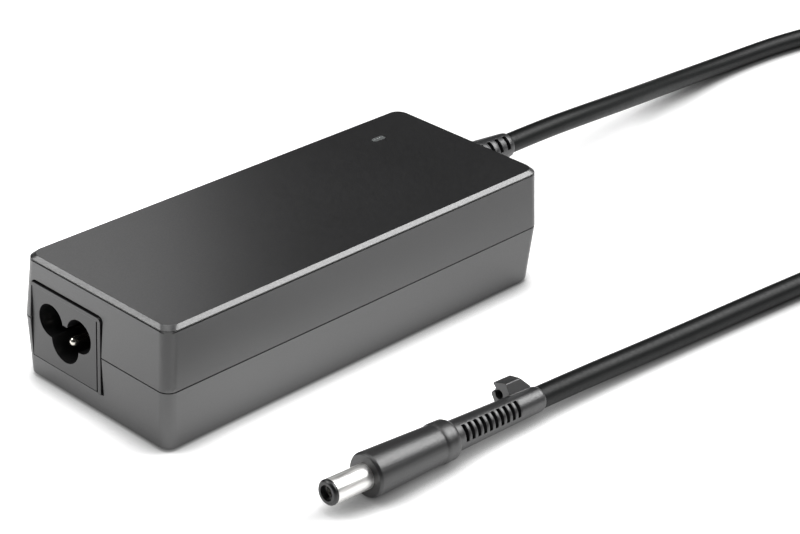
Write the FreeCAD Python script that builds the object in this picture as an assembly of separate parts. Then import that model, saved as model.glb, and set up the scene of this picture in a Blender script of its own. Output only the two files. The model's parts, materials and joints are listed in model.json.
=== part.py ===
"""A laptop power adapter: a two-shell brick with a three-pole mains inlet, the circuit inside it,
and a low-voltage lead that ends in a round barrel plug. Millimetres.

The origin is at the bottom centre of the brick. +X runs along the brick from the mains inlet to the
low-voltage lead, +Y runs across it, and +Z is up. The lead lies on the surface that the brick
stands on, with its spare length wound into a tied coil."""
import FreeCAD, Part
import math
import os

os.makedirs("parts", exist_ok=True)

V = FreeCAD.Vector
X_AXIS, Y_AXIS, Z_AXIS = V(1, 0, 0), V(0, 1, 0), V(0, 0, 1)

# ---- brick -------------------------------------------------------------------------------------
LENGTH, WIDTH, HEIGHT = 127.0, 51.0, 32.0
PARTING = 16.2              # height of the joint between the shells, where the brick is widest
DRAFT = 0.9                 # how far each side leans in between the joint and the top or bottom
WALL = 2.2
CORNER = 3.0                # radius of the upright corners
TOP_BEVEL = 0.9
BOTTOM_BEVEL = 0.9
LINE_WIDTH, LINE_DEPTH = 0.32, 0.28   # the fine moulded lines at the joint and under the bevel
LIP_HEIGHT, LIP_WIDTH = 1.5, 0.9      # tongue of the lower shell inside the upper one
FIT = 0.1                   # gap left between parts that slip together

# ---- mains inlet, C6 pattern, in the -X end ------------------------------------------------------
INLET_Y, INLET_Z = 10.35, 17.7        # midway between the live pins
PIN_SPACING = 10.0
EARTH_DROP = 4.3            # earth pin below the line of the live pins
LOBE_R = 4.2                # round lobes of the socket about the live pins
EARTH_LOBE_R = 4.75
PIN_R = 1.2
SOCKET_DEPTH = 12.0
LIVE_RECESS, EARTH_RECESS = 4.5, 1.6  # pin tips behind the socket's face
FACE_Y0, FACE_Y1 = -0.75, 20.75       # face of the socket, inside its frame
FACE_Z0, FACE_Z1 = 6.0, 24.4
FACE_X = -62.9
FACE_GROOVE = 0.4           # depth of the groove between the face and the upright bar
FRAME_X = -63.45            # flat raised frame, level with the shells at their joint
FRAME_Y0, FRAME_Y1 = -2.8, 22.0
FRAME_TOP = 25.9
FRAME_BAR = 1.05
FRAME_GAP = 0.4             # gap between the frame and the shells
INLET_BACK = -47.0
FLANGE_X0, FLANGE_X1 = -60.45, -58.6  # flange that the shells' ribs trap

# ---- circuit board -------------------------------------------------------------------------------
BOARD_X0, BOARD_X1, BOARD_Y = -45.0, 57.0, 21.5
BOARD_Z, BOARD_T = 4.6, 1.6
BOARD_TOP = BOARD_Z + BOARD_T
POSTS = [(-41, -18), (-41, 18), (52, -18), (52, 18)]

# ---- low-voltage lead ------------------------------------------------------------------------------
CORD_D = 5.6
CORD_R = CORD_D / 2
EXIT_Y, EXIT_Z = 11.9, PARTING        # where the lead leaves the +X end
RELIEF_END_X = 93.6
TIE_T = 0.8
COIL_X, COIL_Y = 264.2, -55.5         # centre of the wound spare length
OUTER_TURN, INNER_TURN = 37.0, 22.5   # radii of the outermost and innermost turns
TURN_SLACK = 0.15           # space between the turns and the outer shape of the coil
LOW_TURN_Z = TIE_T + TURN_SLACK + CORD_R
HIGH_TURN_Z = LOW_TURN_Z + CORD_D
STUB = 22.0                 # straight cord that leaves the coil on its tangent

# ---- plug: distances along its axis from the tip -------------------------------------------------
TIP = V(-53.6, -65.6, 5.92)
PLUG_YAW, PLUG_PITCH = -2.9, 1.5      # degrees: turned towards -Y, and nose up on its tapered body
PLUG_ROLL = 34.0            # the slotted sides face this far above level
LEAD_ROLL = 44.0            # the same at the brick's end of the lead
BARREL_R, BARREL_BORE_R = 3.0, 2.35
BARREL_ROOT_R, BARREL_END = 2.6, 14.5
TIP_RING = 1.1
HOUSING_START, HOUSING_END = 11.4, 37.2
HOUSING_FRONT_R, HOUSING_REAR_R = 5.35, 4.65
RELIEF_END = 66.6
SLEEVE_START_R, SLEEVE_END_R = 3.75, 3.15

# ---- route of the lead, first to last, in runs between these points --------------------------------
ADAPTER_ROUTE = [
    (RELIEF_END_X, EXIT_Y, EXIT_Z), (109, EXIT_Y, EXIT_Z), (128, 12.8, 14.8), (153, 15.9, 11.5),
    (183, 22.0, 6.2), (214, 25.1, CORD_R), (248.2, 23.0, CORD_R), (277.3, 16.0, CORD_R), (294.8, 1.8, 3.2),
    (COIL_X + OUTER_TURN, -16.3, LOW_TURN_Z), (COIL_X + OUTER_TURN, COIL_Y + STUB, LOW_TURN_Z)]
PLUG_ROUTE = [
    (COIL_X - STUB, COIL_Y - OUTER_TURN, HIGH_TURN_Z), (223.1, COIL_Y - OUTER_TURN, HIGH_TURN_Z),
    (198, -89.4, 5.8), (164.9, -82.9, CORD_R), (117.7, -77.0, CORD_R), (58.5, -71.8, CORD_R)]


def block(x0, x1, y0, y1, z0, z1):
    return Part.makeBox(x1 - x0, y1 - y0, z1 - z0, V(x0, y0, z0))


def rod(start, direction, radius, length):
    return Part.makeCylinder(radius, length, start, direction)


def ring(start, direction, outer, inner, length):
    return rod(start, direction, outer, length).cut(rod(start, direction, inner, length))


def joined(shapes):
    result = shapes[0]
    for shape in shapes[1:]:
        result = result.fuse(shape)
    return result.removeSplitter()


def rounded_wire(x0, x1, y0, y1, radius, z):
    """A closed rectangle with rounded corners at height z."""
    k = radius * (1 - math.sqrt(0.5))
    corners = [
        ((x1 - radius, y0), (x1 - k, y0 + k), (x1, y0 + radius)),
        ((x1, y1 - radius), (x1 - k, y1 - k), (x1 - radius, y1)),
        ((x0 + radius, y1), (x0 + k, y1 - k), (x0, y1 - radius)),
        ((x0, y0 + radius), (x0 + k, y0 + k), (x0 + radius, y0))]
    edges = []
    for number, corner in enumerate(corners):
        begin, middle, end = [V(px, py, z) for px, py in corner]
        following = V(*corners[(number + 1) % 4][0], z)
        edges.append(Part.Arc(begin, middle, end).toShape())
        edges.append(Part.LineSegment(end, following).toShape())
    return Part.Wire(edges)


def drafted_body(levels, radius):
    """A solid through rounded rectangles, each a height and how far it lies inside the full plan."""
    sections = []
    for z, inset in levels:
        x, y = LENGTH / 2 - inset, WIDTH / 2 - inset
        sections.append(rounded_wire(-x, x, -y, y, radius, z))
    return Part.makeLoft(sections, True, True)


def lean(z):
    """How far the side lies inside the full plan at height z."""
    span = HEIGHT - PARTING if z > PARTING else PARTING
    return DRAFT * abs(z - PARTING) / span


def rim(z0, z1, outer_inset, inner_inset, radius=CORNER):
    """A band that follows the plan between two insets."""
    outer = drafted_body([(z0, outer_inset), (z1, outer_inset)], radius)
    inner = drafted_body([(z0, inner_inset), (z1, inner_inset)], max(radius - inner_inset, 0.6))
    return outer.cut(inner)


def rounded_top(x0, x1, y0, y1, z0, z1, radius):
    """A block whose upper edges along X are rounded."""
    shape = block(x0, x1, y0, y1, z0, z1)
    upper = [e for e in shape.Edges if abs(e.BoundBox.XLength - e.Length) < 1e-6
             and e.CenterOfMass.z > (z0 + z1) / 2]
    return shape.makeFillet(radius, upper)


def inlet_opening():
    """What is cut from both shells for the inlet."""
    gap = FRAME_GAP
    return rounded_top(-70, -55, FRAME_Y0 - gap, FRAME_Y1 + FIT, FACE_Z0 - FIT, FRAME_TOP + gap, 1.5)


def lead_opening():
    return rod(V(LENGTH / 2 - 6, EXIT_Y, EXIT_Z), X_AXIS, 4.4 + FIT, 10)


def lens_place():
    return 44.35, 14.4


def bottom_shell():
    outer = drafted_body([(0, lean(0) + BOTTOM_BEVEL), (BOTTOM_BEVEL, lean(BOTTOM_BEVEL)),
                          (PARTING, 0)], CORNER)
    cavity = drafted_body([(WALL, lean(WALL) + WALL), (PARTING + 1, WALL)], CORNER - WALL)
    lip_inset = WALL - LIP_WIDTH
    tongue = rim(PARTING - 2, PARTING + LIP_HEIGHT, lip_inset, WALL, CORNER - lip_inset)
    shell = outer.cut(cavity).fuse(tongue)
    posts = [rod(V(x, y, WALL - 0.5), Z_AXIS, 2.5, BOARD_Z - WALL + 0.5) for x, y in POSTS]
    rib = block(FLANGE_X1 + FIT, FLANGE_X1 + 1.4, FACE_Y0, FACE_Y1, WALL - 0.5, FACE_Z0 - 2 * FIT)
    shell = joined([shell, rib] + posts)
    joint_line = rim(PARTING - LINE_WIDTH, PARTING + LIP_HEIGHT + 1, -1, LINE_DEPTH)
    joint_line = joint_line.common(block(-70, 70, -30, 30, PARTING - LINE_WIDTH, PARTING))
    return shell.cut(inlet_opening()).cut(lead_opening()).cut(joint_line)


def top_shell():
    shoulder = HEIGHT - TOP_BEVEL
    outer = drafted_body([(PARTING, 0), (shoulder, lean(shoulder)), (HEIGHT, DRAFT + TOP_BEVEL)], CORNER)
    ceiling = HEIGHT - WALL
    cavity = drafted_body([(PARTING - 1, WALL), (ceiling, lean(ceiling) + WALL)], CORNER - WALL)
    rebate_inset = WALL - LIP_WIDTH - FIT
    rebate = drafted_body([(PARTING - 1, rebate_inset), (PARTING + LIP_HEIGHT + FIT, rebate_inset)],
                          CORNER - rebate_inset)
    rib = block(FLANGE_X1 + FIT, FLANGE_X1 + 1.4, FACE_Y0, FACE_Y1, FACE_Z1 + 0.3, ceiling + 0.5)
    shell = joined([outer.cut(cavity).cut(rebate), rib])
    line_top = shoulder - 0.15
    bevel_line = rim(line_top - LINE_WIDTH, line_top, -1, lean(line_top) + LINE_DEPTH)
    x, y = lens_place()
    window = lens_outline(x, y, 4.1 + FIT, 1.8 + FIT, ceiling - 1, HEIGHT + 1)
    return shell.cut(inlet_opening()).cut(lead_opening()).cut(bevel_line).cut(window)


def lens_outline(x, y, length, width, z0, z1):
    outline = rounded_wire(x - length / 2, x + length / 2, y - width / 2, y + width / 2, 0.7, z0)
    return Part.Face(outline).extrude(V(0, 0, z1 - z0))


def led_lens():
    x, y = lens_place()
    ceiling = HEIGHT - WALL
    pane = lens_outline(x, y, 4.1, 1.8, ceiling - 0.4, HEIGHT - 0.05)
    flange = lens_outline(x, y, 5.6, 3.2, ceiling - 0.9, ceiling - 0.1)
    return joined([pane, flange])


def indicator_led():
    x, y = lens_place()
    body = rod(V(x, y, 21.5), Z_AXIS, 1.5, 3.6)
    dome = Part.makeSphere(1.5, V(x, y, 25.1))
    legs = [block(x + s - 0.25, x + s + 0.25, y - 0.25, y + 0.25, BOARD_TOP, 21.6)
            for s in (-1.0, 1.0)]
    return joined([body, dome] + legs)


def socket_lobes(x0, depth):
    half = PIN_SPACING / 2
    earth_z = INLET_Z - EARTH_DROP + 0.2
    lobes = [rod(V(x0, INLET_Y + half, INLET_Z), X_AXIS, LOBE_R, depth),
             rod(V(x0, INLET_Y - half, INLET_Z), X_AXIS, LOBE_R, depth),
             rod(V(x0, INLET_Y, earth_z), X_AXIS, EARTH_LOBE_R, depth)]
    return joined(lobes)


def pin_places():
    """Name, Y, Z and how far the tip lies behind the face, for each pin."""
    half = PIN_SPACING / 2
    return [("line", INLET_Y + half, INLET_Z, LIVE_RECESS),
            ("neutral", INLET_Y - half, INLET_Z, LIVE_RECESS),
            ("earth", INLET_Y, INLET_Z - EARTH_DROP, EARTH_RECESS)]


def inlet_body():
    """The socket: a face with a raised edge above and beside it, a flange and a block behind."""
    front = rounded_top(FRAME_X, FLANGE_X0 + 0.5, FRAME_Y0, FRAME_Y1, FACE_Z0, FRAME_TOP, 1.1)
    side, top = FRAME_Y0 + FRAME_BAR, FRAME_TOP - FRAME_BAR
    front = front.cut(block(-70, FACE_X, side, FRAME_Y1 + 1, 0, top))
    front = front.cut(block(-70, FACE_X + FACE_GROOVE, side, FACE_Y0, 0, top))
    flange = block(FLANGE_X0, FLANGE_X1, FRAME_Y0 - 1.0, FRAME_Y1 + 0.4, FACE_Z0 - 1.0, FRAME_TOP + 1.0)
    rear = block(FLANGE_X1 - 0.5, INLET_BACK, FACE_Y0 + 0.6, FACE_Y1 - 0.6, FACE_Z0, FACE_Z1)
    body = joined([front, flange, rear]).cut(socket_lobes(FACE_X - 1, SOCKET_DEPTH + 1))
    for _, y, z, _ in pin_places():
        body = body.cut(rod(V(FACE_X, y, z), X_AXIS, PIN_R, 20))
    return body


def inlet_pin(y, z, recess):
    """A round pin with a domed tip."""
    start = FACE_X + recess + PIN_R
    shank = rod(V(start, y, z), X_AXIS, PIN_R, INLET_BACK + 1.0 - start)
    return joined([shank, Part.makeSphere(PIN_R, V(start, y, z))])


def bent_wire(start, direction, reach, drop_to, radius):
    """A wire that leaves along direction and bends down to the board."""
    bend = 1.4
    a = start + direction * (reach - bend)
    c = start + direction * reach + V(0, 0, -bend)
    k = math.sqrt(0.5)
    b = start + direction * (reach - bend + bend * k) + V(0, 0, -bend * (1 - k))
    path = Part.Wire([Part.LineSegment(start, a).toShape(), Part.Arc(a, b, c).toShape(),
                      Part.LineSegment(c, V(c.x, c.y, drop_to)).toShape()])
    profile = Part.Wire([Part.makeCircle(radius, start, direction)])
    return path.makePipeShell([profile], True, False)


def inlet_wires():
    back = INLET_BACK + 1.0
    return Part.makeCompound([bent_wire(V(back, y, z), X_AXIS, 2.0, BOARD_TOP, 0.55)
                              for _, y, z, _ in pin_places()])


def lead_wires():
    return Part.makeCompound([bent_wire(V(57.9, EXIT_Y + side, EXIT_Z), V(-1, 0, 0), 3.0, BOARD_TOP, 0.9)
                              for side in (-1.6, 1.6)])


def circuit_board():
    return block(BOARD_X0, BOARD_X1, -BOARD_Y, BOARD_Y, BOARD_Z, BOARD_TOP)


def insulation_sheet():
    sheet = block(BOARD_X0, BOARD_X1, -BOARD_Y + 1, BOARD_Y - 1, WALL + 0.5, WALL + 0.9)
    for x, y in POSTS:
        sheet = sheet.cut(rod(V(x, y, 0), Z_AXIS, 2.8, 6))
    return sheet


def softened(shape, radius):
    """The shape with its upright edges rounded."""
    upright = [e for e in shape.Edges if abs(e.BoundBox.ZLength - e.Length) < 1e-6]
    return shape.makeFillet(radius, upright)


def fuse_link():
    return softened(block(-43, -34.6, -20.4, -16.1, BOARD_TOP, 13.9), 0.6)


def suppression_capacitor():
    return softened(block(-42, -24.5, -13, -4.5, BOARD_TOP, 21.2), 0.5)


def choke_core():
    outer = block(-42, -24, 2, 18, 9.9, 14.9)
    return outer.cut(block(-38, -28, 6, 14, 9, 16))


def choke_windings():
    coils = []
    for y in (4.0, 16.0):
        outer = block(-37.6, -28.4, y - 3.7, y + 3.7, 8.0, 16.8)
        coils.append(outer.cut(block(-38, -28, y - 2.1, y + 2.1, 9.8, 15.0)))
    return Part.makeCompound(coils)


def inrush_thermistor():
    disc = rod(V(-27, -19.6, BOARD_TOP + 6.4), Y_AXIS, 4.2, 3.6)
    legs = [rod(V(x, -17.8, BOARD_TOP), Z_AXIS, 0.4, 4) for x in (-29.5, -24.5)]
    return joined([disc] + legs)


def bridge_rectifier():
    body = block(-19, -4.5, -21, -17.4, BOARD_TOP + 1.2, 18.0)
    legs = [block(x - 0.5, x + 0.5, -19.6, -18.8, BOARD_TOP, BOARD_TOP + 1.5)
            for x in (-17.4, -13.6, -9.9, -6.1)]
    return joined([body] + legs)


def bulk_capacitor():
    """A can that lies along the board, with the crimped groove near its rubber-sealed end."""
    axis = V(-20, -6, BOARD_TOP + 9.1)
    can = rod(axis, X_AXIS, 9.0, 32)
    groove = ring(axis + V(2.5, 0, 0), X_AXIS, 9.5, 8.4, 1.2)
    return can.cut(groove)


def heat_sink(x0, x1, y0, y1):
    """An upright plate with a foot on the board."""
    plate = block(x0, x1, y0, y1, BOARD_TOP, 26.0)
    inward = -1 if y0 > 0 else 1
    foot_y = (y0 - 3, y0) if inward < 0 else (y1, y1 + 3)
    feet = [block(x, x + 3, foot_y[0], foot_y[1], BOARD_TOP, BOARD_TOP + 1.2) for x in (x0, x1 - 3)]
    return joined([plate] + feet)


def power_package(x, y0, y1, z0):
    """A three-legged power device with its moulded body flat on the heat sink."""
    body = block(x - 5, x + 5, y0, y1, z0, z0 + 15.5)
    body = body.cut(rod(V(x, y0 - 1, z0 + 12.6), Y_AXIS, 1.8, 8))
    legs = [block(x + s - 0.4, x + s + 0.4, (y0 + y1) / 2 - 0.25, (y0 + y1) / 2 + 0.25,
                  BOARD_TOP, z0 + 0.2) for s in (-2.54, 0, 2.54)]
    return joined([body] + legs)


def package_screw(x, face, outward, z0):
    """A pan-head screw that holds a package to its heat sink."""
    direction = V(0, -outward, 0)
    head = rod(V(x, face, z0 + 12.6), V(0, outward, 0), 2.8, 1.8)
    shank = rod(V(x, face, z0 + 12.6), direction, 1.5, 4.5)
    slot = block(x - 3, x + 3, face + outward * 1.4 - 0.4, face + outward * 1.4 + 0.4,
                 z0 + 12.3, z0 + 12.9)
    return joined([head, shank]).cut(slot)


def package_screws():
    return Part.makeCompound([package_screw(-3, 14.4, -1, 9.5), package_screw(48, -14.4, 1, 9.5)])


def transformer_core():
    outer = block(17, 37, -13, 13, 11, 22)
    windows = block(20.5, 33.5, 4.5, 9.5, 10, 23).fuse(block(20.5, 33.5, -9.5, -4.5, 10, 23))
    return outer.cut(windows)


def transformer_winding():
    outer = softened(block(20.7, 33.3, -9.3, 9.3, 7.2, 25.8), 1.2)
    return outer.cut(block(20, 34, -4.6, 4.6, 10.9, 22.1))


def thermal_pad():
    return block(18, 36, -12, 12, 25.85, 27.15)


def heat_spreader():
    """A formed aluminium sheet over the parts that run hot, with its edges turned down."""
    sheet = block(-18, 39.5, -20, 20, 27.2, 28.0)
    edges = [block(-18, 39.5, y, y + 0.8, 26.2, 28.0) for y in (-20.0, 19.2)]
    return joined([sheet] + edges)


def y_capacitor():
    disc = rod(V(11, 7, BOARD_TOP + 6), Y_AXIS, 4.5, 3.8)
    legs = [rod(V(x, 8.9, BOARD_TOP), Z_AXIS, 0.4, 4) for x in (8, 14)]
    return joined([disc] + legs)


def optocoupler():
    body = block(18, 22.6, -20.4, -14.0, BOARD_TOP + 0.4, BOARD_TOP + 3.9)
    legs = [block(x, x + 0.6, y, y + 0.6, BOARD_TOP, BOARD_TOP + 1.4)
            for x in (18.6, 21.4) for y in (-20.4, -14.6)]
    return joined([body] + legs)


def output_capacitors():
    return Part.makeCompound([rod(V(43.3, y, BOARD_TOP), Z_AXIS, 5.0, 19.5) for y in (-7.6, 3.6)])


def output_choke_core():
    """A drum core."""
    base = V(52.8, -1.5, BOARD_TOP)
    ends = [rod(base + V(0, 0, z), Z_AXIS, 4.0, 1.6) for z in (0, 9.4)]
    return joined([rod(base, Z_AXIS, 2.2, 11)] + ends)


def output_choke_winding():
    return ring(V(52.8, -1.5, BOARD_TOP + 1.65), Z_AXIS, 3.7, 2.25, 7.7)


def turned(profile, start):
    """A solid of revolution about +X through start, from (distance, radius) points."""
    points = [V(x, 0, r) for x, r in profile]
    points = [V(profile[0][0], 0, 0)] + points + [V(profile[-1][0], 0, 0)]
    face = Part.Face(Part.makePolygon(points + points[:1]))
    solid = face.revolve(V(0, 0, 0), X_AXIS, 360)
    solid.translate(start)
    return solid


def side_slots(first, pitch, count, width, floor, half_height, start):
    """Slots across both sides, seen along Y, that leave a spine above and below."""
    slots = []
    for number in range(count):
        x = start.x + first + number * pitch
        for side in (-1, 1):
            y0, y1 = sorted((start.y + side * floor, start.y + side * 12))
            slots.append(block(x, x + width, y0, y1, start.z - half_height, start.z + half_height))
    return Part.makeCompound(slots)


def adapter_strain_relief():
    """Flange inside the shells, a neck in their wall, and a tapered slotted sleeve outside."""
    start = V(0, EXIT_Y, EXIT_Z)
    sleeve = turned([(57.9, 6.5), (60.5, 6.5), (60.5, 4.4), (63.7, 4.4), (63.7, 6.3), (65.4, 6.3),
                     (66.2, 5.8), (92.2, 3.55), (93.2, 3.4), (RELIEF_END_X, 3.1)], start)
    slots = side_slots(66.75, 3.35, 8, 1.25, 1.9, 2.0, start)
    sleeve = sleeve.cut(slots)
    sleeve.rotate(start, X_AXIS, -LEAD_ROLL)
    return sleeve


def plug_frame(shape):
    """Moves a shape made along +X from the origin onto the plug's axis, slotted side to the front."""
    shape.rotate(V(0, 0, 0), X_AXIS, -PLUG_ROLL)
    shape.rotate(V(0, 0, 0), Y_AXIS, PLUG_PITCH)
    shape.rotate(V(0, 0, 0), Z_AXIS, PLUG_YAW)
    shape.translate(TIP)
    return shape


def plug_point(distance):
    """A point on the plug's axis."""
    pitch, yaw = math.radians(PLUG_PITCH), math.radians(PLUG_YAW)
    direction = V(math.cos(pitch) * math.cos(yaw), math.cos(pitch) * math.sin(yaw), -math.sin(pitch))
    return TIP + direction * distance


def plug_approach():
    """The last points of the lead's route, straight into the plug's strain relief."""
    return [tuple(plug_point(RELIEF_END + 15)), tuple(plug_point(RELIEF_END))]


def plug_tip_insulator():
    """Black ring at the open end, and the liner that it shares with the barrel."""
    nose = turned([(0, BARREL_R - 0.45), (0.45, BARREL_R), (TIP_RING, BARREL_R),
                   (TIP_RING, BARREL_BORE_R - 0.05), (BARREL_END, BARREL_BORE_R - 0.05)], V(0, 0, 0))
    bore = rod(V(-1, 0, 0), X_AXIS, 1.85, 20)
    return plug_frame(nose.cut(bore))


def plug_barrel():
    """Outer contact: a tube that narrows a little where the grip is moulded over it."""
    tube = joined([ring(V(TIP_RING, 0, 0), X_AXIS, BARREL_R, BARREL_BORE_R, HOUSING_START - TIP_RING),
                   ring(V(HOUSING_START, 0, 0), X_AXIS, BARREL_ROOT_R, BARREL_BORE_R,
                        BARREL_END - HOUSING_START)])
    return plug_frame(tube)


def plug_contact_sleeve():
    """Inner contact: a sprung sleeve inside the liner."""
    return plug_frame(ring(V(1.6, 0, 0), X_AXIS, 1.80, 1.55, BARREL_END - 1.6))


def plug_centre_pin():
    pin = rod(V(2.4, 0, 0), X_AXIS, 0.35, BARREL_END - 2.4)
    return plug_frame(joined([pin, Part.makeSphere(0.35, V(2.4, 0, 0))]))


def plug_housing():
    """Moulded grip: a slightly tapered round body with a low rim at its back."""
    front, back = HOUSING_START, HOUSING_END
    body = turned([(front, 4.9), (front + 0.5, HOUSING_FRONT_R - 0.06), (front + 0.8, HOUSING_FRONT_R),
                   (back - 5.0, HOUSING_REAR_R + 0.1), (back - 4.2, HOUSING_REAR_R + 0.33),
                   (back - 1.0, HOUSING_REAR_R + 0.25), (back - 0.3, HOUSING_REAR_R - 0.1),
                   (back, HOUSING_REAR_R - 0.45)], V(0, 0, 0))
    return plug_frame(body.cut(rod(V(front - 1, 0, 0), X_AXIS, BARREL_ROOT_R, BARREL_END - front + 1)))


def cable_clip():
    """C-shaped hook moulded on the sleeve, its mouth away from the slotted side."""
    profile = [(-0.8, 0), (-0.8, 6.0), (-0.45, 6.35), (3.0, 7.25), (3.4, 7.0), (3.05, 5.8), (5.0, 5.1),
               (5.2, 4.5), (5.1, 2.6), (3.6, 0.5)]
    points = [V(58.1, y, z) for y, z in profile]
    outer = Part.Face(Part.makePolygon(points + points[:1])).extrude(V(6.9, 0, 0))
    hollow = rod(V(50, 2.7, 4.1), X_AXIS, 1.2, 20)
    mouth = block(50, 70, 0, 4, -0.3, 0.3)
    mouth.rotate(V(0, 0, 0), X_AXIS, 50)
    mouth.translate(V(0, 2.7, 4.1))
    slope = Part.Face(Part.makePolygon([V(62.6, -9, 6.35), V(65.0, -9, 3.35), V(67.4, -9, 0.35),
                                        V(75, -9, 0.35), V(75, -9, 12), V(58.1, -9, 11.98),
                                        V(62.6, -9, 6.35)])).extrude(V(0, 18, 0))
    slope.rotate(V(62.6, -0.8, 6.35), Z_AXIS, -24)
    return outer.cut(hollow).cut(mouth).cut(slope)


def plug_strain_relief():
    """Tapered slotted sleeve behind the plug, with the cable clip moulded on its spine."""
    back = HOUSING_END
    sleeve = turned([(back, SLEEVE_START_R + 0.2), (back + 1.0, SLEEVE_START_R),
                     (RELIEF_END - 0.8, SLEEVE_END_R), (RELIEF_END, SLEEVE_END_R - 0.25)], V(0, 0, 0))
    slots = side_slots(39.3, 1.93, 10, 0.95, 1.5, 2.0, V(0, 0, 0))
    return plug_frame(joined([sleeve.cut(slots), cable_clip()]))


def cord_path(points):
    """Straight runs joined by tangent arcs, each as large as its two runs allow."""
    points = [V(*p) for p in points]
    edges, start = [], points[0]
    for before, corner, after in zip(points, points[1:], points[2:]):
        arriving, leaving = corner - before, after - corner
        half_turn = arriving.getAngle(leaving) / 2
        setback = 0.45 * min(arriving.Length, leaving.Length)
        radius = setback / math.tan(half_turn)
        arriving.normalize()
        leaving.normalize()
        inward = leaving - arriving
        inward.normalize()
        begin, end = corner - arriving * setback, corner + leaving * setback
        middle = corner + inward * (radius / math.cos(half_turn) - radius)
        edges.append(Part.LineSegment(start, begin).toShape())
        edges.append(Part.Arc(begin, middle, end).toShape())
        print("turn %5.1f deg, radius %6.1f mm" % (math.degrees(2 * half_turn), radius))
        start = end
    edges.append(Part.LineSegment(start, points[-1]).toShape())
    return Part.Wire(edges)


def cord_tube(name, points):
    path = cord_path(points)
    first = V(*points[1]) - V(*points[0])
    profile = Part.Wire([Part.makeCircle(CORD_R, V(*points[0]), first)])
    tube = path.makePipeShell([profile], True, False)
    expected = math.pi * CORD_R ** 2 * path.Length
    print("%s: %.1f mm long, volume %.4f of section times length"
          % (name, path.Length, tube.Volume / expected))
    return tube


def coil_section(grow):
    """Outline of the wound turns, in the XZ plane beside the coil's axis."""
    reach = CORD_R + TURN_SLACK + grow
    outline = rounded_wire(INNER_TURN - reach, OUTER_TURN + reach, LOW_TURN_Z - reach,
                           HIGH_TURN_Z + reach, 2.0 + grow, 0)
    outline.rotate(V(0, 0, 0), X_AXIS, 90)
    return Part.Face(outline)


def coil_solid(grow, degrees, start_angle=0):
    solid = coil_section(grow).revolve(V(0, 0, 0), Z_AXIS, degrees)
    solid.rotate(V(0, 0, 0), Z_AXIS, start_angle)
    solid.translate(V(COIL_X, COIL_Y, 0))
    return solid


def cord_coil():
    """Outer shape of the wound turns, with the straight ends that leave it."""
    coming_in = rod(V(*ADAPTER_ROUTE[-1]), V(0, -1, 0), CORD_R, STUB)
    going_out = rod(V(*PLUG_ROUTE[0]), X_AXIS, CORD_R, STUB)
    return joined([coil_solid(0, 360), coming_in, going_out])


def coil_tie():
    width = math.degrees(10.0 / ((INNER_TURN + OUTER_TURN) / 2))
    band = coil_solid(TIE_T, width, 180 - width / 2)
    return band.cut(coil_solid(0, 360))


def build_all():
    nodes = {
        "top_shell": top_shell(),
        "bottom_shell": bottom_shell(),
        "inlet_body": inlet_body(),
        "inlet_wires": inlet_wires(),
        "led_lens": led_lens(),
        "indicator_led": indicator_led(),
        "circuit_board": circuit_board(),
        "insulation_sheet": insulation_sheet(),
        "fuse": fuse_link(),
        "suppression_capacitor": suppression_capacitor(),
        "choke_core": choke_core(),
        "choke_windings": choke_windings(),
        "inrush_thermistor": inrush_thermistor(),
        "bridge_rectifier": bridge_rectifier(),
        "bulk_capacitor": bulk_capacitor(),
        "primary_heat_sink": heat_sink(-20, 15, 18.9, 20.9),
        "switching_transistor": power_package(-3, 14.4, 18.9, 9.5),
        "transformer_core": transformer_core(),
        "transformer_winding": transformer_winding(),
        "thermal_pad": thermal_pad(),
        "heat_spreader": heat_spreader(),
        "y_capacitor": y_capacitor(),
        "optocoupler": optocoupler(),
        "secondary_heat_sink": heat_sink(39.5, 56.5, -20.9, -18.9),
        "output_rectifier": power_package(48, -18.9, -14.4, 9.5),
        "package_screws": package_screws(),
        "output_capacitors": output_capacitors(),
        "output_choke_core": output_choke_core(),
        "output_choke_winding": output_choke_winding(),
        "lead_wires": lead_wires(),
        "adapter_strain_relief": adapter_strain_relief(),
        "cord_adapter_side": cord_tube("cord_adapter_side", ADAPTER_ROUTE),
        "cord_coil": cord_coil(),
        "coil_tie": coil_tie(),
        "cord_plug_side": cord_tube("cord_plug_side", PLUG_ROUTE + plug_approach()),
        "plug_strain_relief": plug_strain_relief(),
        "plug_housing": plug_housing(),
        "plug_barrel": plug_barrel(),
        "plug_tip_insulator": plug_tip_insulator(),
        "plug_contact_sleeve": plug_contact_sleeve(),
        "plug_centre_pin": plug_centre_pin(),
    }
    for name, y, z, recess in pin_places():
        nodes["inlet_%s_pin" % name] = inlet_pin(y, z, recess)
    return nodes


for node, shape in build_all().items():
    shape.exportStep("parts/%s.step" % node)
    print("%-24s %2d solid %s, %.1f mm3" % (node, len(shape.Solids), shape.isValid(), shape.Volume))
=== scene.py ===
"""The looks of a laptop power adapter: its lead, its moulded shells, the socket, the plug and the light.

Metres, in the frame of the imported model: +X along the brick from the mains inlet to the low-voltage
lead, +Y across it, +Z up, origin at the bottom centre of the brick."""
import json
import math

import bpy
from mathutils import Matrix, Vector


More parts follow.
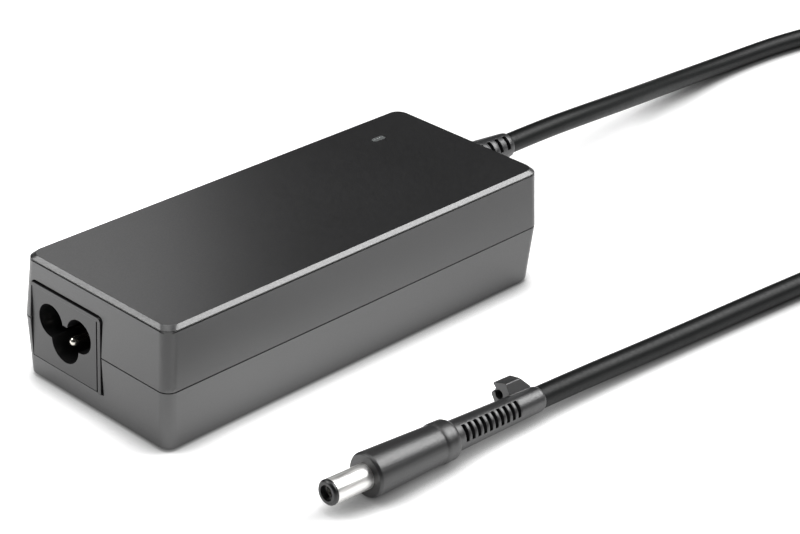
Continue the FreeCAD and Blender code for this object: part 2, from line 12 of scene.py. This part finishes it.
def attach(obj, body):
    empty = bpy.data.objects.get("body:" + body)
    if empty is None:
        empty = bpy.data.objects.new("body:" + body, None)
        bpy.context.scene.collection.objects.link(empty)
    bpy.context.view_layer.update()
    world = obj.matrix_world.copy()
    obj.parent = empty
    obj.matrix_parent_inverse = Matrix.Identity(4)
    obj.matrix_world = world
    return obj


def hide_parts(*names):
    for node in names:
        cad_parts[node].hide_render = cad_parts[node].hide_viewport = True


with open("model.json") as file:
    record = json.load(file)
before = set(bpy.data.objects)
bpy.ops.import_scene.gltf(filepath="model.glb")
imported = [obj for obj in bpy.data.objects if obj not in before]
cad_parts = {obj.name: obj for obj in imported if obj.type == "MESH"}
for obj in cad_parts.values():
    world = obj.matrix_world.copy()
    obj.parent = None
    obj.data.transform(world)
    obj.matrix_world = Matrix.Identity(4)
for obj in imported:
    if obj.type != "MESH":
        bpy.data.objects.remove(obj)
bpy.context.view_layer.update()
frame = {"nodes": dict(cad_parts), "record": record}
MM = 0.001

# ---- camera --------------------------------------------------------------------------------------
CAMERA_PLACE = Vector((-350.3, -348.3, 279.0)) * MM
CAMERA_AZIMUTH, CAMERA_ELEVATION, CAMERA_ROLL = -48.21, 27.93, 3.25
CAMERA_LENS = 102.7

# ---- lead ----------------------------------------------------------------------------------------
CORD_DIAMETER = 5.6
CORD_R = CORD_DIAMETER / 2
COIL_CENTRE = (264.2, -55.5)
OUTER_TURN, INNER_TURN = 37.0, 22.5
LOW_TURN_Z, HIGH_TURN_Z = 3.75, 9.35
TURNS, POINTS_PER_TURN = 5.25, 24
CLIMB_START, CLIMB_END = 2.5, 2.75      # turns between which the cord climbs to the upper layer
ADAPTER_ROUTE = [
    (93.6, 11.9, 16.2), (109, 11.9, 16.2), (128, 12.8, 14.8), (153, 15.9, 11.5), (183, 22.0, 6.2),
    (214, 25.1, CORD_R), (248.2, 23.0, CORD_R), (277.3, 16.0, CORD_R), (294.8, 1.8, 3.2),
    (301.2, -16.3, 3.75), (301.2, -33.5, 3.75)]
PLUG_ROUTE = [
    (242.2, -92.5, 9.35), (223.1, -92.5, 9.35), (198, -89.4, 5.8), (164.9, -82.9, CORD_R),
    (117.7, -77.0, CORD_R), (58.5, -71.8, CORD_R), (27.86, -69.72, 3.78), (12.89, -68.96, 4.18)]


def make_camera():
    azimuth, elevation = math.radians(CAMERA_AZIMUTH), math.radians(CAMERA_ELEVATION)
    roll = math.radians(CAMERA_ROLL)
    right = Vector((math.cos(azimuth), math.sin(azimuth), 0))
    back = Vector((math.sin(azimuth) * math.cos(elevation), -math.cos(azimuth) * math.cos(elevation),
                   math.sin(elevation)))
    up = back.cross(right)
    rolled_right = right * math.cos(roll) + up * math.sin(roll)
    rolled_up = up * math.cos(roll) - right * math.sin(roll)
    camera_data = bpy.data.cameras.new("camera")
    camera_data.lens = CAMERA_LENS
    camera_data.clip_start, camera_data.clip_end = 0.01, 20
    camera = bpy.data.objects.new("camera", camera_data)
    bpy.context.scene.collection.objects.link(camera)
    turn = Matrix((rolled_right, rolled_up, back)).transposed().to_4x4()
    camera.matrix_world = Matrix.Translation(CAMERA_PLACE) @ turn
    bpy.context.scene.camera = camera


def coil_points():
    """The wound turns: inwards on the floor, a climb, and outwards on top, clockwise from above."""
    points = []
    for number in range(int(TURNS * POINTS_PER_TURN) + 1):
        turn = number / POINTS_PER_TURN
        pitch = (OUTER_TURN - INNER_TURN) / CLIMB_START
        climb = min(max((turn - CLIMB_START) / (CLIMB_END - CLIMB_START), 0), 1)
        if turn < CLIMB_START:
            radius = OUTER_TURN - pitch * turn
        else:
            radius = INNER_TURN + pitch * max(turn - CLIMB_END, 0)
        angle = -2 * math.pi * turn
        height = LOW_TURN_Z + (HIGH_TURN_Z - LOW_TURN_Z) * climb
        points.append((COIL_CENTRE[0] + radius * math.cos(angle),
                       COIL_CENTRE[1] + radius * math.sin(angle), height))
    return points


def make_cord():
    route = ADAPTER_ROUTE + coil_points() + PLUG_ROUTE
    curve = bpy.data.curves.new("cord", "CURVE")
    curve.dimensions = "3D"
    curve.bevel_depth = 1.0             # times each point's radius
    curve.bevel_resolution = 8
    curve.resolution_u = 10
    curve.use_fill_caps = True
    spline = curve.splines.new("NURBS")
    spline.points.add(len(route) - 1)
    for point, place in zip(spline.points, route):
        point.co = (place[0] * MM, place[1] * MM, place[2] * MM, 1)
        point.radius = CORD_R * MM
    spline.order_u = 3
    spline.use_endpoint_u = True
    cord = bpy.data.objects.new("cord", curve)
    bpy.context.scene.collection.objects.link(cord)
    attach(cord, "root")
    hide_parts("cord_adapter_side", "cord_coil", "cord_plug_side")
    return cord


make_camera()
cord = make_cord()


# ---- finishes ------------------------------------------------------------------------------------
def linear(colour):
    """The linear colour that a shader takes, from an sRGB hex value."""
    channels = [int(colour[start:start + 2], 16) / 255 for start in (1, 3, 5)]
    return [c / 12.92 if c <= 0.04045 else ((c + 0.055) / 1.055) ** 2.4 for c in channels] + [1]


def add(tree, kind, links=None, **settings):
    """Adds one shader node; a capitalised setting is an input, the links feed inputs from outputs."""
    node = tree.nodes.new("ShaderNode" + kind)
    for name, value in settings.items():
        if name[0].isupper():
            node.inputs[name.replace("_", " ")].default_value = value
        else:
            setattr(node, name, value)
    for socket, source in (links or {}).items():
        tree.links.new(source, node.inputs[socket])
    return node


def start_finish(name, **settings):
    """A new material with values set on its shader's own sockets."""
    material = bpy.data.materials.new(name)
    material.use_nodes = True
    tree = material.node_tree
    shader = tree.nodes["Principled BSDF"]
    for socket, value in settings.items():
        shader.inputs[socket.replace("_", " ")].default_value = value
    return material, tree, shader, add(tree, "TexCoord").outputs["Object"]


def two_tones(tree, factor, dark, light, low=0.35, high=0.65):
    """A colour that runs between two tones as a pattern does."""
    ramp = add(tree, "ValToRGB", {0: factor})
    ramp.color_ramp.elements[0].color, ramp.color_ramp.elements[1].color = linear(dark), linear(light)
    ramp.color_ramp.elements[0].position, ramp.color_ramp.elements[1].position = low, high
    return ramp.outputs[0]


def finish(tree, shader, colour, bump, gloss=None):
    """Links a pattern's colour, height and, where it has one, gloss to the shader."""
    tree.links.new(colour, shader.inputs["Base Color"])
    tree.links.new(bump.outputs[0], shader.inputs["Normal"])
    if gloss:
        tree.links.new(gloss.outputs[0], shader.inputs["Roughness"])


def grained(name, dark, light, grain_mm, depth_mm, roughness, spread=0.06, cloud_mm=30, **settings):
    """A moulded, cast or dipped surface: fine grain in its height and gloss, slow clouds of tone."""
    material, tree, shader, place = start_finish(name, **settings)
    grain = add(tree, "TexNoise", {0: place}, Scale=1 / (grain_mm * MM), Detail=3.0)
    cloud = add(tree, "TexNoise", {0: place}, Scale=1 / (cloud_mm * MM), Detail=2.0)
    gloss = add(tree, "MapRange", {0: grain.outputs[0]}, From_Min=0.3, From_Max=0.7,
                To_Min=roughness - spread, To_Max=roughness + spread)
    bump = add(tree, "Bump", {"Height": grain.outputs[0]}, Strength=0.6, Distance=depth_mm * MM)
    finish(tree, shader, two_tones(tree, cloud.outputs[0], dark, light), bump, gloss)
    return material


def drawn_metal(name, dark, light, line_mm, stretch, depth_mm, roughness, **settings):
    """A rolled, drawn or brushed metal: fine lines along its length that break the reflections."""
    material, tree, shader, place = start_finish(name, Metallic=1.0, **settings)
    along = add(tree, "Mapping", {0: place}, Scale=stretch)
    lines = add(tree, "TexNoise", {0: along.outputs[0]}, Scale=1 / (line_mm * MM), Detail=2.0)
    gloss = add(tree, "MapRange", {0: lines.outputs[0]}, From_Min=0.3, From_Max=0.7,
                To_Min=roughness * 0.8, To_Max=roughness * 1.25)
    bump = add(tree, "Bump", {"Height": lines.outputs[0]}, Strength=0.5, Distance=depth_mm * MM)
    finish(tree, shader, two_tones(tree, lines.outputs[0], dark, light), bump, gloss)
    return material


def wound(name, dark, light, turn_mm, direction, depth_mm, roughness, **settings):
    """Wire or tape in even turns: round ridges, with painted shade where two turns meet."""
    material, tree, shader, place = start_finish(name, Roughness=roughness, **settings)
    wave_period = 2 * math.pi / 20      # in metres, of a band pattern at a scale of one
    turns = add(tree, "TexWave", {0: place}, bands_direction=direction, Distortion=0.4,
                Scale=wave_period / (turn_mm * MM))
    bump = add(tree, "Bump", {"Height": turns.outputs["Fac"]}, Strength=0.9, Distance=depth_mm * MM)
    # the tone follows the turns' height: painted shade, darker in the grooves between turns
    finish(tree, shader, two_tones(tree, turns.outputs["Fac"], dark, light, 0.05, 0.6), bump)
    return material


def solder_mask():
    """Screen-printed solder mask over etched copper: green lacquer, tracks stand up under it."""
    material, tree, shader, place = start_finish("solder_mask_over_copper", Roughness=0.32,
                                                 Coat_Weight=0.5, Coat_Roughness=0.15)
    tracks = add(tree, "TexVoronoi", {0: place}, Scale=1 / (4 * MM), distance="CHEBYCHEV",
                 feature="DISTANCE_TO_EDGE")
    edges = add(tree, "MapRange", {0: tracks.outputs[0]}, From_Min=0.06, From_Max=0.12)
    bump = add(tree, "Bump", {"Height": edges.outputs[0]}, Strength=0.5, Distance=0.035 * MM)
    finish(tree, shader, two_tones(tree, edges.outputs[0], "#0B3B20", "#156B3A", 0.2, 0.8), bump)
    return material


def clear_moulding(name, colour, roughness, ior, weight):
    """Clear plastic: light goes through it, faint flow lines bend what is seen behind."""
    material, tree, shader, place = start_finish(name, IOR=ior, Transmission_Weight=weight)
    shader.inputs["Base Color"].default_value = linear(colour)
    flow = add(tree, "TexNoise", {0: place}, Scale=1 / (1.5 * MM), Detail=2.0)
    gloss = add(tree, "MapRange", {0: flow.outputs[0]}, To_Min=roughness * 0.6, To_Max=roughness * 1.6)
    bump = add(tree, "Bump", {"Height": flow.outputs[0]}, Strength=0.3, Distance=0.02 * MM)
    tree.links.new(gloss.outputs[0], shader.inputs["Roughness"])
    tree.links.new(bump.outputs[0], shader.inputs["Normal"])
    return material


FINISHES = {
    # Polycarbonate and ABS from a spark-eroded mould: near black, an even fine tooth that scatters
    # highlights. The tooth is 0.05 mm in life, drawn at 0.3 mm to show. The plastic's IOR is about
    # 1.58, raised here to give the upright sides their sheen.
    "housing_plastic": grained("polycarbonate_abs_eroded_mould", "#101011", "#141415", 0.3, 0.012, 0.36,
                               IOR=1.85),
    # Glass-filled PBT of the socket: as dark as the shells, with a finer tooth.
    "inlet_plastic": grained("glass_filled_pbt_moulded", "#101010", "#131314", 0.22, 0.008, 0.37,
                             IOR=1.65),
    # Turned brass pins with bright tin: warm white metal with turning lines.
    "tinned_brass": drawn_metal("tinned_brass_turned", "#C9C4BA", "#DEDBD4", 0.15, (8, 1, 1),
                                0.003, 0.20),
    # Clear polycarbonate window: glossy, nearly colourless.
    "lens_plastic": clear_moulding("polycarbonate_clear_moulded", "#DDE2E2", 0.10, 1.585, 0.85),
    # Clear epoxy of the indicator: round and glassy.
    "led_epoxy": clear_moulding("epoxy_clear_cast", "#EEF1EF", 0.08, 1.54, 0.7),
    "circuit_board": solder_mask(),
    # Polyester insulating film: milky, with soft waves.
    "insulation_film": grained("polyester_film_calendered", "#D8D5C8", "#E4E2D8", 2.0, 0.03, 0.35,
                               IOR=1.58, Transmission_Weight=0.3),
    # Polyester box capacitor: glossy mustard case filled with epoxy.
    "capacitor_case": grained("polyester_box_moulded", "#B0831C", "#C49425", 0.5, 0.01, 0.30, IOR=1.57),
    # Phenolic fuse case: brown with a dull skin.
    "fuse_case": grained("phenolic_moulded", "#472A1B", "#553322", 0.4, 0.01, 0.38, IOR=1.6),
    # Sintered ferrite: charcoal grey, dry and gritty.
    "ferrite": grained("manganese_zinc_ferrite_sintered", "#333336", "#414144", 0.25, 0.02, 0.62, 0.1, 8,
                       IOR=2.3),
    # Enamelled copper wire of 0.5 mm: glossy red-brown turns.
    "copper_wire": wound("copper_wire_enamelled", "#7A3517", "#C9763F", 0.5, "Z", 0.12, 0.25,
                         Metallic=0.9, Coat_Weight=0.6, Coat_Roughness=0.12),
    # PVC wire insulation, extruded: even satin blue-black.
    "wire_insulation": grained("pvc_wire_extruded", "#1B1F3C", "#222848", 0.3, 0.006, 0.36, IOR=1.53),
    # Disc parts dipped in epoxy: glossy blue with an uneven skin.
    "ceramic_disc": grained("epoxy_dipped_ceramic", "#234A86", "#2D5BA0", 1.2, 0.05, 0.22, 0.05, 4,
                            IOR=1.55),
    # Epoxy moulding compound of the power devices: matt black with a fine tooth.
    "component_black": grained("epoxy_moulding_compound", "#161618", "#1E1E20", 0.2, 0.01, 0.52,
                               IOR=1.58),
    # Shrink sleeve round the capacitors: glossy dark blue film, faint wrinkles.
    "capacitor_sleeve": grained("pet_shrink_sleeve", "#141B33", "#1B2442", 1.6, 0.03, 0.24, 0.06, 9,
                                IOR=1.57),
    # Aluminium sheet as rolled: bright grey with fine lines along X.
    "aluminium_sheet": drawn_metal("aluminium_rolled_sheet", "#B2B3B6", "#CACBCD", 0.2, (0.06, 1, 1),
                                   0.004, 0.34),
    # Polyester winding tape: yellow film in turns with lapped edges, 3 mm apart.
    "winding_tape": wound("polyester_tape_wound", "#B98812", "#E3B22B", 3.0, "Y", 0.05, 0.28, IOR=1.58),
    # Silicone gap pad: matt grey-blue, soft and slightly gritty.
    "silicone_pad": grained("silicone_gap_pad", "#8792A0", "#97A2AF", 0.4, 0.03, 0.7, 0.08, 6, IOR=1.43),
    # Zinc-plated steel screws: pale, faintly yellow metal.
    "zinc_screw": drawn_metal("zinc_plated_steel", "#B4B2A5", "#CECCC1", 0.2, (1, 1, 1), 0.006, 0.32),
    # Soft PVC moulded over the plug and the reliefs: dark grey, a satin skin. Its IOR of about 1.54
    # is raised for the same sheen.
    "soft_grip": grained("soft_pvc_moulded", "#1C1C1D", "#202021", 0.35, 0.008, 0.4, IOR=1.7),
    # PVC jacket of the cord, extruded: nearly black, satin, faint waves along it. Its specular level
    # is half the usual one, to keep it dark.
    "cord_jacket": grained("pvc_jacket_extruded", "#080A0A", "#0C0E0E", 0.9, 0.008, 0.46, 0.04, 12,
                           IOR=1.45, Specular_IOR_Level=0.25),
    # Woven nylon tie for the spare cord: dull black with a coarse tooth.
    "tie_strap": wound("nylon_strap_woven", "#0C0C0D", "#1B1B1D", 0.8, "Z", 0.15, 0.75,
                       Sheen_Weight=0.3),
    # Nickel-plated brass: pale, with fine drawing lines along the plug. It is lighter and less
    # glossy than bright nickel is.
    "barrel_plating": drawn_metal("nickel_plated_brass_drawn", "#F0EFEC", "#F7F6F4", 0.3, (0.05, 1, 1),
                                  0.0004, 0.4),
    # Black PBT nose of the plug: dark, slightly glossy.
    "tip_plastic": grained("black_pbt_moulded", "#111112", "#161617", 0.25, 0.006, 0.34, IOR=1.56),
}


def dress(piece, slot):
    piece.data.materials.clear()
    piece.data.materials.append(FINISHES[slot])


SLOT_OF = {part["node"]: part["material_slot"] for part in frame["record"]["subparts"]}
for node, slot in SLOT_OF.items():
    for holder in frame["nodes"][node].material_slots:
        holder.material = FINISHES[slot]
dress(cord, "cord_jacket")


# ---- moulded pieces --------------------------------------------------------------------------------
def edit(piece):
    """Makes a piece the only selected one and opens it for editing, all of it selected."""
    bpy.ops.object.select_all(action="DESELECT")
    bpy.context.view_layer.objects.active = piece
    piece.select_set(True)
    bpy.ops.object.mode_set(mode="EDIT")
    bpy.ops.mesh.select_all(action="SELECT")


def stands_for(piece, node):
    dress(piece, SLOT_OF[node])
    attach(piece, "root")
    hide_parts(node)


WELD_MM = 0.004             # corners closer than this are one
FLAT_TURN = 0.3             # degrees between faces that are joined into one
EDGE_TURN = 30              # degrees between faces from which their edge is rounded
SMOOTH_TURN = 35            # degrees between faces up to which they are shaded as one
EDGE_STEPS = 2


def refined(node, edge_mm):
    """A copy of a CAD piece, its triangles merged and its edges rounded as a mould leaves them."""
    piece = bpy.data.objects.new(node + "_refined", frame["nodes"][node].data.copy())
    bpy.context.scene.collection.objects.link(piece)
    edit(piece)
    bpy.ops.mesh.customdata_custom_splitnormals_clear()
    bpy.ops.mesh.remove_doubles(threshold=WELD_MM * MM)
    bpy.ops.mesh.dissolve_limited(angle_limit=math.radians(FLAT_TURN))
    bpy.ops.mesh.normals_make_consistent(inside=False)
    bpy.ops.object.mode_set(mode="OBJECT")
    bevel = piece.modifiers.new("edges", "BEVEL")
    bevel.width, bevel.segments = edge_mm * MM, EDGE_STEPS
    bevel.limit_method, bevel.angle_limit = "ANGLE", math.radians(EDGE_TURN)
    bevel.use_clamp_overlap = False
    bpy.ops.object.modifier_apply(modifier="edges")
    bpy.ops.object.shade_smooth_by_angle(angle=math.radians(SMOOTH_TURN))
    evened = piece.modifiers.new("evened", "WEIGHTED_NORMAL")   # flat faces keep their own normals
    evened.keep_sharp = True
    bpy.ops.object.modifier_apply(modifier="evened")
    stands_for(piece, node)
    return piece


refined("top_shell", 0.08)
refined("bottom_shell", 0.08)
refined("inlet_body", 0.1)
on_cord = [refined("adapter_strain_relief", 0.14), refined("plug_strain_relief", 0.12),
           refined("plug_housing", 0.1), refined("plug_barrel", 0.06), refined("plug_tip_insulator", 0.08),
           refined("coil_tie", 0.2), "plug_contact_sleeve", "plug_centre_pin"]

# ---- studio --------------------------------------------------------------------------------------
MIDDLE = Vector((0, -20, 15)) * MM       # what the softboxes face
SOFTBOXES = {   # degrees right of the camera, elevation, distance, sides in metres, watts
    "right_softbox": (113, 42, 0.95, (0.7, 0.5), 9.5),
    "left_softbox": (-92, 36, 0.95, (0.45, 0.35), 3.0),
    "overhead_softbox": (-120, 82, 1.1, (1.0, 0.8), 6.0),
}
CARD_PLACE, CARD_FACES = Vector((85, 220, 196)) * MM, Vector((-60, 0, 32)) * MM
CARD_SIZE, CARD_WATTS = (0.13, 0.12), 0.07
FLOOR_SIZE, FLOOR_DROP = 6, 0.1 * MM    # the drop keeps the floor off the flat underside
ACROSS = (0.746, 0.666, 0)              # level, away from the camera
WORLD_LIGHT = 0.035


def softbox(name, centre, target, size, watts):
    data = bpy.data.lights.new(name, "AREA")
    data.shape = "RECTANGLE"
    data.size, data.size_y = size
    data.energy = watts
    light = bpy.data.objects.new(name, data)
    light.location = centre
    light.rotation_euler = (centre - target).to_track_quat("Z", "Y").to_euler()
    light.visible_camera = False
    bpy.context.scene.collection.objects.link(light)


def round_camera(turn, elevation, distance):
    """A place round the object: turn degrees to the right of the camera, at an elevation."""
    azimuth = math.radians(CAMERA_AZIMUTH - 90 + turn)
    rise = math.radians(elevation)
    return MIDDLE + distance * Vector((math.cos(azimuth) * math.cos(rise),
                                       math.sin(azimuth) * math.cos(rise), math.sin(rise)))


for name, (turn, elevation, distance, size, watts) in SOFTBOXES.items():
    softbox(name, round_camera(turn, elevation, distance), MIDDLE, size, watts)
softbox("back_card", CARD_PLACE, CARD_FACES, CARD_SIZE, CARD_WATTS)

bpy.ops.mesh.primitive_plane_add(size=FLOOR_SIZE, location=(0, 0, -FLOOR_DROP))
floor = bpy.context.object
floor.name = "floor"
# Opal acrylic of a light table: matt white. Its glow, laid out by place, is painted light: strong
# under and behind the left end, weak in front, little to the right, and all round far off; it also
# lights the object. Its contact shadow is painted: an ambient-occlusion mask darkens its colour
# and its glow close to what stands on it.
opal, opal_tree, opal_shader, opal_place = start_finish("opal_table_painted_glow_and_shadow", Roughness=0.9,
                                                        Emission_Color=(1, 1, 1, 1))
axes = add(opal_tree, "SeparateXYZ", {0: opal_place})
across = add(opal_tree, "VectorMath", {0: opal_place}, operation="DOT_PRODUCT")
across.inputs[1].default_value = ACROSS
reach = add(opal_tree, "VectorMath", {0: opal_place}, operation="LENGTH")
left_glow = add(opal_tree, "MapRange", {0: axes.outputs["X"]}, From_Min=-0.03, From_Max=0.1,
                To_Min=0.85, To_Max=0.12)
front_fade = add(opal_tree, "MapRange", {0: across.outputs["Value"]}, From_Min=-0.11, From_Max=-0.05,
                 To_Min=0.1, To_Max=1.0)
near_glow = add(opal_tree, "Math", {0: left_glow.outputs[0], 1: front_fade.outputs[0]},
                operation="MULTIPLY")
far_glow = add(opal_tree, "MapRange", {0: reach.outputs["Value"]}, From_Min=0.3, From_Max=0.7,
               To_Max=1.1)
glow = add(opal_tree, "Math", {0: near_glow.outputs[0], 1: far_glow.outputs[0]}, operation="ADD")
# painted contact shadow: ambient occlusion within 9 mm darkens the floor's colour and its glow
contact = add(opal_tree, "AmbientOcclusion", Distance=0.009)
opal_tree.links.new(two_tones(opal_tree, contact.outputs["AO"], "#4A4A4A", "#F8F8F8", 0.45, 0.84),
                    opal_shader.inputs["Base Color"])
glow_under_painted_shadow = add(opal_tree, "Math", {0: glow.outputs[0], 1: contact.outputs["AO"]},
                  operation="MULTIPLY")
opal_tree.links.new(glow_under_painted_shadow.outputs[0], opal_shader.inputs["Emission Strength"])
floor.data.materials.append(opal)

world = bpy.data.worlds.new("studio")
bpy.context.scene.world = world
world.use_nodes = True
sky = world.node_tree.nodes["Background"]
sky.inputs["Color"].default_value = (1, 1, 1, 1)
seen = add(world.node_tree, "LightPath")    # a white wall to look at, which gives little light
wall = add(world.node_tree, "MapRange", {0: seen.outputs["Is Camera Ray"]}, To_Min=WORLD_LIGHT,
           To_Max=1.0)
world.node_tree.links.new(wall.outputs[0], sky.inputs["Strength"])
bpy.context.scene.view_settings.view_transform = "Standard"
